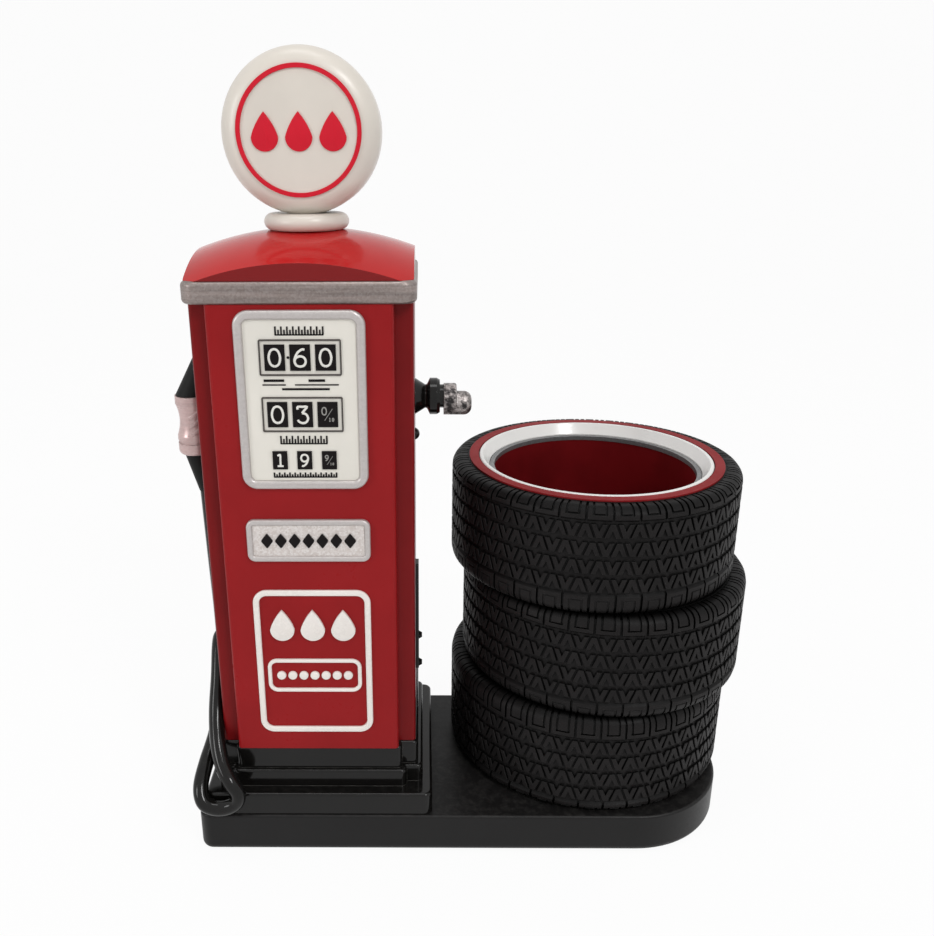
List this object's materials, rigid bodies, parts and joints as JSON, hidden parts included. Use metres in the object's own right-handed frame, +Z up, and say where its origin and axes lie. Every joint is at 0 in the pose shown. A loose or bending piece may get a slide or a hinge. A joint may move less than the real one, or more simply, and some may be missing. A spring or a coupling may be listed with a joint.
{
  "type": "gas pump desk organiser",
  "caption": "Cast desk organiser: a vintage fuel pump with a round globe, a dial and a side nozzle, beside stacked tyres that form a pen cup, on one base.",
  "frame": {"origin": "centre of the outer box on the surface that the felt stands on", "axes": "+Z up through the stacked tyres and the pump, +X along the front from the pump to the tyres, +Y from front to back"},
  "size_m": [0.1374, 0.0772, 0.1815],
  "materials": {
    "felt": "black felt",
    "base_black": "satin black paint on cast resin",
    "gloss_black": "gloss black paint on cast resin",
    "pump_red": "gloss red enamel on cast resin",
    "silver_paint": "brushed silver paint on cast resin",
    "globe_white": "gloss off-white enamel",
    "ring_red": "gloss red print",
    "dial_white": "satin off-white paint",
    "print_black": "black print",
    "outline_white": "white enamel",
    "tyre_black": "matte black paint on cast resin",
    "stripe_red": "satin red paint",
    "wheel_white": "white enamel",
    "wheel_grey": "grey metallic paint",
    "cup_maroon": "satin maroon paint"
  },
  "bodies": {
    "root": {"felt_sheet": "felt", "base_plate": "base_black", "plinth": "gloss_black", "cabinet": "pump_red", "front_panel": "pump_red", "rear_panel": "pump_red", "trim_band": "silver_paint", "roof": "pump_red", "globe_collar": "globe_white", "globe": "globe_white", "globe_ring": "ring_red", "dial_rim": "silver_paint", "dial_face": "dial_white", "sale_frame": "print_black", "sale_drums": "print_black", "volume_frame": "print_black", "volume_drums": "print_black", "price_drums": "print_black", "grade_frame": "silver_paint", "grade_face": "silver_paint", "door_outline": "outline_white", "label_outline": "outline_white", "nozzle_guard": "gloss_black", "nozzle_body": "silver_paint", "nozzle_grip": "gloss_black", "hose": "gloss_black", "hose_union": "gloss_black", "crank_hub": "gloss_black", "crank_handle": "silver_paint", "side_button": "gloss_black", "side_rail": "gloss_black", "tyre_bottom": "tyre_black", "tyre_middle": "tyre_black", "tyre_top": "tyre_black", "tread_bottom": "tyre_black", "tread_middle": "tyre_black", "tread_top": "tyre_black", "side_stripe": "stripe_red", "wheel_flange": "wheel_white", "wheel_lip": "wheel_grey", "pen_cup": "cup_maroon"}
  },
  "joints": []
}
